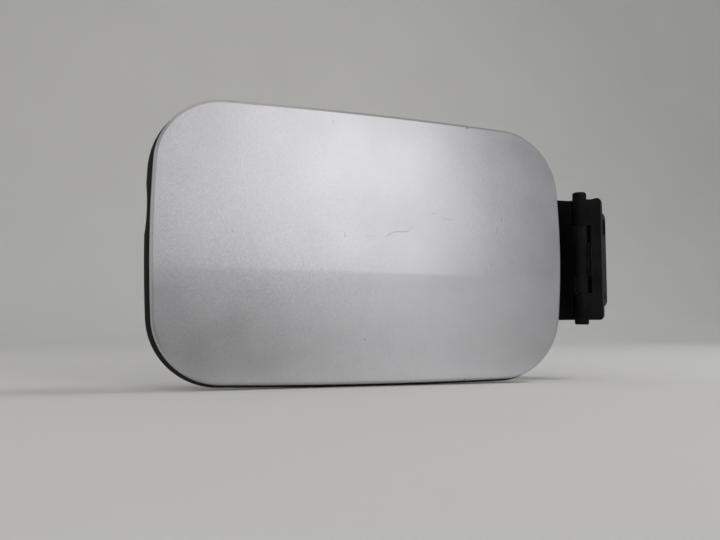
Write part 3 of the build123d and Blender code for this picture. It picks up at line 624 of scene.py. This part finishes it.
def glowing_panel(strength):
    """Light panel that fades out at its sides and top and ends sharply below."""
    material, tree = bare_material("Glowing panel")
    across, _, up = tree.split(tree.object_place())
    left = tree.ramp(across, *PANEL_LEFT_FADE, smooth=True)
    lifted = tree.math("MAXIMUM", left, PANEL_LEFT_LEAST)
    right = tree.ramp(across, *PANEL_RIGHT_FADE, smooth=True)
    top = tree.ramp(up, *PANEL_TOP_FADE, smooth=True)
    add_glow(tree, PANEL_COLOUR, tree.product(lifted, right, top, strength))
    return material


def even_card(name, strength):
    """Card that glows evenly and a little warm."""
    material, tree = bare_material(name)
    add_glow(tree, CARD_COLOUR, strength)
    return material


def flat_card(shape, size, place, turn=None):
    """Rectangle in a bmesh, given a quarter turn about an axis and put in its place."""
    bmesh.ops.create_grid(shape, x_segments=1, y_segments=1, size=HALF_METRE)
    bmesh.ops.scale(shape, vec=(*size, 1.0), verts=shape.verts)
    if turn is not None:
        quarter = Matrix.Rotation(radians(90), 3, turn)
        bmesh.ops.rotate(shape, matrix=quarter, verts=shape.verts)
    bmesh.ops.translate(shape, vec=place, verts=shape.verts)


def floor_and_backdrop(shape):
    """Floor under the part that bends up into a backdrop."""
    flat_card(shape, SWEEP_SIZE, (*SWEEP_PLACE, CAD_LOW.z))
    back = max(shape.edges, key=lambda edge: sum(vert.co.y for vert in edge.verts))
    made = bmesh.ops.extrude_edge_only(shape, edges=[back])["geom"]
    raised = [item for item in made if isinstance(item, bmesh.types.BMVert)]
    bmesh.ops.translate(shape, vec=(0.0, 0.0, SWEEP_RISE), verts=raised)
    bmesh.ops.bevel(
        shape,
        geom=[back],
        offset=SWEEP_BEND,
        affect="EDGES",
        segments=SWEEP_BEND_STEPS,
        profile=0.5,
        material=-1,
    )
    bmesh.ops.recalc_face_normals(shape, faces=shape.faces)


def staged_object(name, material, build, *given):
    """Object of the stage, from a function that fills a bmesh."""
    shape = bmesh.new()
    build(shape, *given)
    mesh = bpy.data.meshes.new(name)
    shape.to_mesh(mesh)
    shape.free()
    for face in mesh.polygons:
        face.use_smooth = True
    made = bpy.data.objects.new(name, mesh)
    made.data.materials.append(material)
    bpy.context.scene.collection.objects.link(made)
    return made


def add_cards(stage):
    """Front panel, left card and top card, which the camera doesn't see."""
    panel_glow = glowing_panel(stage.panel_strength)
    panel = staged_object("light_panel", panel_glow, flat_card, PANEL_SIZE, PANEL_PLACE, "X")
    side_glow = even_card("Side card", stage.side_strength)
    side = staged_object("left_card", side_glow, flat_card, SIDE_CARD_SIZE, SIDE_CARD_PLACE, "Y")
    top_glow = even_card("Top card", stage.top_strength)
    top = staged_object("top_card", top_glow, flat_card, TOP_CARD_SIZE, TOP_CARD_PLACE)
    for card in (panel, side, top):
        card.visible_camera = False
    top.visible_diffuse = False
    top.visible_shadow = False


def add_key_light(stage):
    """Soft key light from the right, kept out of reflections."""
    lamp = bpy.data.lights.new("key_light", "AREA")
    lamp.energy = stage.key_power
    lamp.size = KEY_SIZE
    made = bpy.data.objects.new(lamp.name, lamp)
    made.location = KEY_PLACE
    aim = Vector(KEY_TARGET) - Vector(KEY_PLACE)
    made.rotation_euler = aim.to_track_quat("-Z", "Y").to_euler()
    made.visible_glossy = False
    bpy.context.scene.collection.objects.link(made)


def set_surround(stage):
    """Even light from all sides, and a plain pale background for the camera."""
    world = bpy.data.worlds.new("Studio")
    bpy.context.scene.world = world
    world.use_nodes = True
    world.node_tree.nodes.clear()
    tree = Tree(world.node_tree)
    lighting = {"Color": opaque(SURROUND_COLOUR), "Strength": stage.surround}
    showing = {"Color": opaque(stage.floor_colour), "Strength": SHOWN_STRENGTH}
    lit = tree.add("ShaderNodeBackground", lighting).outputs[0]
    shown = tree.add("ShaderNodeBackground", showing).outputs[0]
    both = tree.add("ShaderNodeMixShader", {0: tree.seen_by_camera(), 1: lit, 2: shown})
    tree.add("ShaderNodeOutputWorld", {"Surface": both.outputs[0]})


def add_camera(stage):
    """Camera that looks at the part as the photo does."""
    lens = bpy.data.cameras.new("camera")
    lens.sensor_width = SENSOR_WIDTH
    lens.sensor_fit = "HORIZONTAL"
    lens.lens = stage.lens
    lens.clip_start = CLIP_START
    camera = bpy.data.objects.new("camera", lens)
    turn = Matrix((CAMERA_RIGHT, CAMERA_UP, CAMERA_BACK)).transposed().to_4x4()
    camera.matrix_world = Matrix.Translation(stage.camera_place) @ turn
    bpy.context.scene.collection.objects.link(camera)
    bpy.context.scene.camera = camera


class FuelDoorPaint(bpy.types.PropertyGroup):
    """Silver paint of the outer skin."""

    colour: FloatVectorProperty(
        name="Silver",
        description="Colour of the paint",
        subtype="COLOR",
        default=(0.52, 0.52, 0.54),
        min=0.0,
        max=1.0,
    )
    mark_colour: FloatVectorProperty(
        name="Mark",
        description="Colour in scratches and specks",
        subtype="COLOR",
        default=(0.11, 0.10, 0.09),
        min=0.0,
        max=1.0,
    )
    flake_scale: FloatProperty(
        name="Flakes per metre", description="Fineness of the metal flakes", default=3600.0
    )
    flake_tilt: FloatProperty(
        name="Flake tilt", description="How far the flakes lean", default=0.06
    )
    roughness: FloatProperty(
        name="Roughness",
        description="Spread of the metal's shine",
        subtype="FACTOR",
        default=0.34,
        min=0.0,
        max=1.0,
    )
    lacquer_roughness: FloatProperty(
        name="Lacquer roughness",
        description="Spread of the lacquer's shine",
        subtype="FACTOR",
        default=0.04,
        min=0.0,
        max=1.0,
    )
    metal: FloatProperty(
        name="Metal",
        description="How metallic the paint is",
        subtype="FACTOR",
        default=0.85,
        min=0.0,
        max=1.0,
    )


class FuelDoorPlastic(bpy.types.PropertyGroup):
    """Black plastic of the panel, the arm, the base and the small mouldings."""

    colour: FloatVectorProperty(
        name="Black",
        description="Colour of the plastic",
        subtype="COLOR",
        default=(0.012, 0.012, 0.0125),
        min=0.0,
        max=1.0,
    )
    pale_colour: FloatVectorProperty(
        name="Pale patches",
        description="Colour where the plastic is faded",
        subtype="COLOR",
        default=(0.018, 0.018, 0.0187),
        min=0.0,
        max=1.0,
    )
    worn_colour: FloatVectorProperty(
        name="Worn edges",
        description="Colour of rubbed edges",
        subtype="COLOR",
        default=(0.045, 0.045, 0.046),
        min=0.0,
        max=1.0,
    )
    dust_colour: FloatVectorProperty(
        name="Dust",
        description="Colour of the dust",
        subtype="COLOR",
        default=(0.16, 0.15, 0.135),
        min=0.0,
        max=1.0,
    )
    # Painted highlight on the hinge base's screw flange, standing in for a reflection: its colour,
    # where it starts across, and its round gap at the upper screw hole
    highlight_colour: FloatVectorProperty(
        name="Painted highlight",
        description="Colour of the film on the screw flange",
        subtype="COLOR",
        default=(0.060, 0.064, 0.058),
        min=0.0,
        max=1.0,
    )
    highlight_from: FloatProperty(
        name="Film from",
        description="Place across at which the film begins",
        subtype="DISTANCE",
        unit="LENGTH",
        default=-0.0064,
    )
    highlight_gap_place: FloatVectorProperty(
        name="Highlight gap",
        description="Middle of the clean print that a washer left round the upper screw hole",
        subtype="TRANSLATION",
        unit="LENGTH",
        default=(0.0, -0.003, 0.0183),
    )
    highlight_gap_radius: FloatProperty(
        name="Highlight gap radius",
        description="Radius of the clean print round the upper screw hole",
        subtype="DISTANCE",
        unit="LENGTH",
        default=0.005,
    )
    # Painted shade: the hinge arm and the hinge base get darker copies of the same black
    arm_shade_share: FloatProperty(
        name="Arm black",
        description="Share of the colour on the hinge arm",
        subtype="FACTOR",
        default=0.6,
        min=0.0,
        max=1.0,
    )
    base_shade_share: FloatProperty(
        name="Base black",
        description="Share of the colour on the hinge base",
        subtype="FACTOR",
        default=0.37,
        min=0.0,
        max=1.0,
    )
    hinge_shine: FloatProperty(
        name="Hinge shine",
        description="Strength of the hinge's reflections",
        subtype="FACTOR",
        default=0.045,
        min=0.0,
        max=1.0,
    )
    dust: FloatProperty(
        name="Dust amount",
        description="How much dust lies on it",
        subtype="FACTOR",
        default=0.10,
        min=0.0,
        max=1.0,
    )
    grain_scale: FloatProperty(
        name="Grains per metre", description="Fineness of the moulded grain", default=2200.0
    )
    gloss_scale: FloatProperty(
        name="Gloss per metre", description="Fineness of the uneven gloss", default=90.0
    )
    grain_depth: FloatProperty(
        name="Grain depth",
        description="Height of the grain",
        subtype="DISTANCE",
        unit="LENGTH",
        default=0.00006,
    )
    edge_round: FloatProperty(
        name="Edge round",
        description="Radius of the softened edges",
        subtype="DISTANCE",
        unit="LENGTH",
        default=0.00035,
    )
    roughness: FloatProperty(
        name="Roughness",
        description="Dullness of the plastic",
        subtype="FACTOR",
        default=0.52,
        min=0.0,
        max=1.0,
    )
    shine: FloatProperty(
        name="Shine",
        description="Strength of its reflections",
        subtype="FACTOR",
        default=0.25,
        min=0.0,
        max=1.0,
    )


class FuelDoorMetal(bpy.types.PropertyGroup):
    """Steel of the screws, the spring and the hinge pin."""

    zinc_colour: FloatVectorProperty(
        name="Zinc",
        description="Colour of the screws",
        subtype="COLOR",
        default=(0.56, 0.56, 0.54),
        min=0.0,
        max=1.0,
    )
    dull_colour: FloatVectorProperty(
        name="Dull steel",
        description="Colour of dull patches on the screws and the spring",
        subtype="COLOR",
        default=(0.38, 0.38, 0.37),
        min=0.0,
        max=1.0,
    )
    spring_colour: FloatVectorProperty(
        name="Spring",
        description="Colour of the spring blade",
        subtype="COLOR",
        default=(0.44, 0.44, 0.45),
        min=0.0,
        max=1.0,
    )
    coating_colour: FloatVectorProperty(
        name="Pin coating",
        description="Colour of the hinge pin",
        subtype="COLOR",
        default=(0.0035, 0.0035, 0.0038),
        min=0.0,
        max=1.0,
    )


class FuelDoorRubber(bpy.types.PropertyGroup):
    """Rubber of the two bump stops."""

    colour: FloatVectorProperty(
        name="Rubber",
        description="Colour of the rubber",
        subtype="COLOR",
        default=(0.010, 0.010, 0.010),
        min=0.0,
        max=1.0,
    )
    bloom_colour: FloatVectorProperty(
        name="Bloom",
        description="Colour of the dull bloom",
        subtype="COLOR",
        default=(0.022, 0.022, 0.022),
        min=0.0,
        max=1.0,
    )
    dust: FloatProperty(
        name="Dust amount",
        description="How much dust lies on it",
        subtype="FACTOR",
        default=0.2,
        min=0.0,
        max=1.0,
    )
    grain_scale: FloatProperty(
        name="Grains per metre", description="Fineness of the rubber's grain", default=3200.0
    )
    gloss_scale: FloatProperty(
        name="Bloom per metre", description="Fineness of the bloom", default=220.0
    )


class FuelDoorStage(bpy.types.PropertyGroup):
    """Floor, lights and camera."""

    floor_colour: FloatVectorProperty(
        name="Floor",
        description="Colour of the floor and backdrop",
        subtype="COLOR",
        default=(0.81, 0.80, 0.775),
        min=0.0,
        max=1.0,
    )
    # Painted shade on the floor in front, seen in reflections only
    bounce_share: FloatProperty(
        name="Bounce",
        description="Share of the floor's colour that reflections see in front",
        subtype="FACTOR",
        default=0.43,
        min=0.0,
        max=1.0,
    )
    surround: FloatProperty(
        name="Surround", description="Strength of the even light", default=0.37
    )
    panel_strength: FloatProperty(
        name="Panel", description="Strength of the front light panel", default=2.05
    )
    key_power: FloatProperty(
        name="Key", description="Power of the key light", unit="POWER", default=3.0
    )
    floor_glow: FloatProperty(
        name="Floor glow",
        description="Strength of the glow from the floor in front",
        default=0.5,
    )
    side_strength: FloatProperty(
        name="Side card", description="Strength of the card at the left", default=0.65
    )
    top_strength: FloatProperty(
        name="Top card", description="Strength of the card above, at the left", default=0.7
    )
    camera_place: FloatVectorProperty(
        name="Camera",
        description="Place of the camera",
        subtype="XYZ",
        unit="LENGTH",
        default=(-0.24346, -0.31035, -0.03514),
    )
    lens: FloatProperty(
        name="Lens",
        description="Focal length on a 36 mm sensor, in millimetres",
        unit="CAMERA",
        default=35.05,
    )


class FUELDOOR_OT_paint_skin(bpy.types.Operator):
    """Paints the outer skin silver"""

    bl_idname = "fueldoor.paint_skin"
    bl_label = "Paint the outer skin"

    def execute(self, context):
        finish_nodes(silver_paint(context.scene.fuel_door_paint), "outer_skin")
        return {"FINISHED"}


class FUELDOOR_OT_finish_mouldings(bpy.types.Operator):
    """Gives the panel, the arm, the base and the small mouldings their black plastic"""

    bl_idname = "fueldoor.finish_mouldings"
    bl_label = "Finish the black mouldings"

    def execute(self, context):
        plastic = context.scene.fuel_door_plastic
        shine = plastic.hinge_shine
        plain = black_moulding(plastic, "Black moulding", 1.0, plastic.shine)
        finish_nodes(plain, "inner_panel", "catch_tongue", "cap_holder")
        # The darker blacks of the hinge arm and the hinge base are painted shade; the base also
        # carries a painted highlight on its flange
        shaded_arm_black = black_moulding(plastic, "Black hinge arm", plastic.arm_shade_share, shine)
        finish_nodes(shaded_arm_black, "hinge_arm", "pin_retainer")
        dull = black_moulding(plastic, "Black hinge base", plastic.base_shade_share, shine, painted_highlight=True)
        finish_nodes(dull, "hinge_base")
        return {"FINISHED"}


class FUELDOOR_OT_finish_screws(bpy.types.Operator):
    """Plates the screws with zinc"""

    bl_idname = "fueldoor.finish_screws"
    bl_label = "Finish the screws"

    def execute(self, context):
        metal = context.scene.fuel_door_metal
        zinc = plated_steel(
            "Zinc plate", metal.zinc_colour, metal.dull_colour, ZINC_ROUGHNESS, ZINC_STREAKS
        )
        finish_nodes(zinc, "arm_screws", "catch_screws", "holder_screws")
        return {"FINISHED"}


class FUELDOOR_OT_finish_hinge_metal(bpy.types.Operator):
    """Finishes the hinge pin and the detent spring"""

    bl_idname = "fueldoor.finish_hinge_metal"
    bl_label = "Finish the pin and the spring"

    def execute(self, context):
        metal = context.scene.fuel_door_metal
        finish_nodes(coated_steel(metal), "hinge_pin")
        rolled = plated_steel(
            "Spring steel", metal.spring_colour, metal.dull_colour, SPRING_ROUGHNESS, SPRING_STREAKS
        )
        finish_nodes(rolled, "detent_spring")
        return {"FINISHED"}


class FUELDOOR_OT_finish_bump_stops(bpy.types.Operator):
    """Gives the bump stops their rubber"""

    bl_idname = "fueldoor.finish_bump_stops"
    bl_label = "Finish the bump stops"

    def execute(self, context):
        rubber = stop_rubber(context.scene.fuel_door_rubber)
        finish_nodes(rubber, "bump_stop_upper", "bump_stop_lower")
        return {"FINISHED"}


class FUELDOOR_OT_set_stage(bpy.types.Operator):
    """Sets up the floor, the lights and the camera"""

    bl_idname = "fueldoor.set_stage"
    bl_label = "Set the stage"

    def execute(self, context):
        stage = context.scene.fuel_door_stage
        staged_object("studio_sweep", pale_sweep(stage), floor_and_backdrop)
        add_cards(stage)
        add_key_light(stage)
        set_surround(stage)
        add_camera(stage)
        context.scene.view_settings.view_transform = "Standard"
        return {"FINISHED"}


class FUELDOOR_PT_build(bpy.types.Panel):
    """Lists the steps that finish the fuel door"""

    bl_label = "Fuel door"
    bl_space_type = "VIEW_3D"
    bl_region_type = "UI"
    bl_category = "Fuel door"

    def draw(self, context):
        for step in STEPS:
            self.layout.operator(step.bl_idname)
        for name, kind in SETTINGS.items():
            box = self.layout.box()
            for setting in kind.__annotations__:
                box.prop(getattr(context.scene, name), setting)


SETTINGS = {
    "fuel_door_paint": FuelDoorPaint,
    "fuel_door_plastic": FuelDoorPlastic,
    "fuel_door_metal": FuelDoorMetal,
    "fuel_door_rubber": FuelDoorRubber,
    "fuel_door_stage": FuelDoorStage,
}
STEPS = (
    FUELDOOR_OT_paint_skin,
    FUELDOOR_OT_finish_mouldings,
    FUELDOOR_OT_finish_screws,
    FUELDOOR_OT_finish_hinge_metal,
    FUELDOOR_OT_finish_bump_stops,
    FUELDOOR_OT_set_stage,
)
CLASSES = (*SETTINGS.values(), *STEPS, FUELDOOR_PT_build)


def register():
    """Registers the classes and the scene's settings."""
    for kind in CLASSES:
        bpy.utils.register_class(kind)
    for name, kind in SETTINGS.items():
        setattr(bpy.types.Scene, name, PointerProperty(type=kind))


def unregister():
    """Removes the scene's settings and the classes."""
    for name in SETTINGS:
        delattr(bpy.types.Scene, name)
    for kind in reversed(CLASSES):
        bpy.utils.unregister_class(kind)


def main():
    """Runs the steps in order."""
    register()
    bpy.ops.fueldoor.paint_skin()
    bpy.ops.fueldoor.finish_mouldings()
    bpy.ops.fueldoor.finish_screws()
    bpy.ops.fueldoor.finish_hinge_metal()
    bpy.ops.fueldoor.finish_bump_stops()
    bpy.ops.fueldoor.set_stage()


if __name__ == "__main__":
    main()
